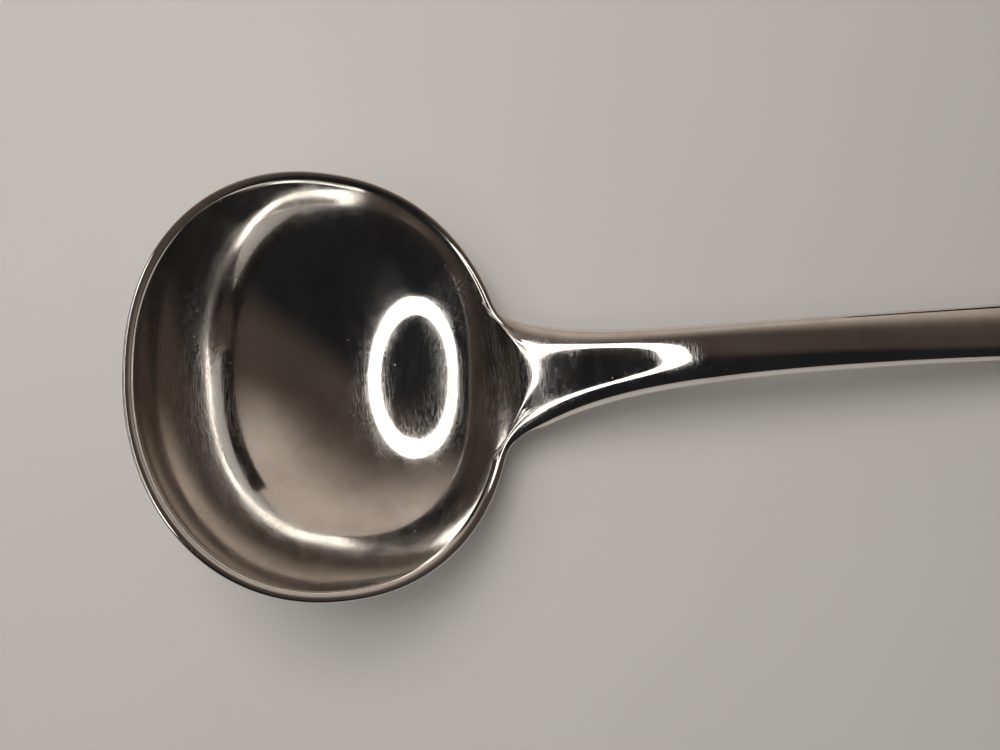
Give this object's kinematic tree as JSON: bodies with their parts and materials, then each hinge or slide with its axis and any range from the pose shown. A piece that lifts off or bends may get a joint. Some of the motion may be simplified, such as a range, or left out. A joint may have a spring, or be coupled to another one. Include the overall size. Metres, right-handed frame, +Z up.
{
  "type": "sauce ladle",
  "caption": "Small silver ladle with a round deep bowl, a forged shoulder and a slender arched stem that widens to a plain rounded end.",
  "frame": {"origin": "middle of the overall length and width, on the plane that the bowl and the end of the stem rest on", "axes": "+X along the stem from the bowl to its end, +Z up, the ladle at rest on its bowl and the end of its stem"},
  "size_m": [0.1716, 0.0598, 0.0325],
  "materials": {
    "silver": "worn polish, fine scratches"
  },
  "bodies": {
    "root": {"ladle": "silver"}
  },
  "joints": []
}
